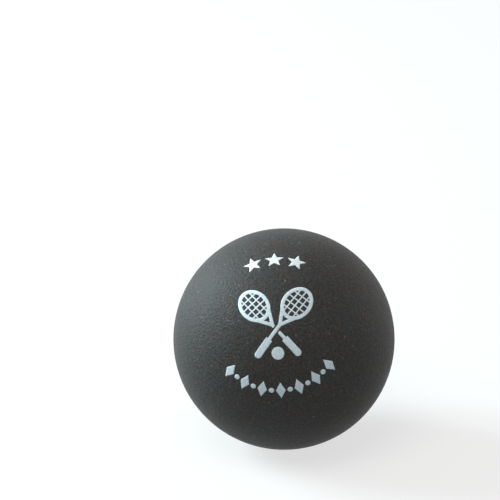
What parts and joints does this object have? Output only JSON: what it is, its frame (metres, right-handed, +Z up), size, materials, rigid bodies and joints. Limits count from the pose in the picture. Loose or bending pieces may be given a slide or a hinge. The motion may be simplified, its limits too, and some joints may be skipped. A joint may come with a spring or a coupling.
{
  "type": "squash ball",
  "caption": "Hollow matt black rubber ball of two bonded half shells round a sealed air chamber, with a pale stamped emblem and two yellow grade dots.",
  "frame": {"origin": "centre of the ball", "axes": "+Z up, -Y towards the printed front; the moulding axis lies in the YZ plane and rises 31.1 degrees from -Y"},
  "size_m": [0.04, 0.04, 0.04],
  "materials": {
    "rubber_front": "matt, finely grained",
    "rubber_rear": "matt, finely grained",
    "cement": "satin, cured rubber cement",
    "ink_white": "matt stamped ink",
    "ink_silver": "matt stamped ink",
    "ink_yellow": "matt stamped ink"
  },
  "bodies": {
    "root": {"half_shell_front": "rubber_front", "half_shell_rear": "rubber_rear", "seam_bond": "cement", "print_stars": "ink_white", "print_emblem": "ink_silver", "print_lozenges": "ink_silver", "print_pips": "ink_silver", "grade_dot_upper": "ink_yellow", "grade_dot_lower": "ink_yellow"}
  },
  "joints": []
}
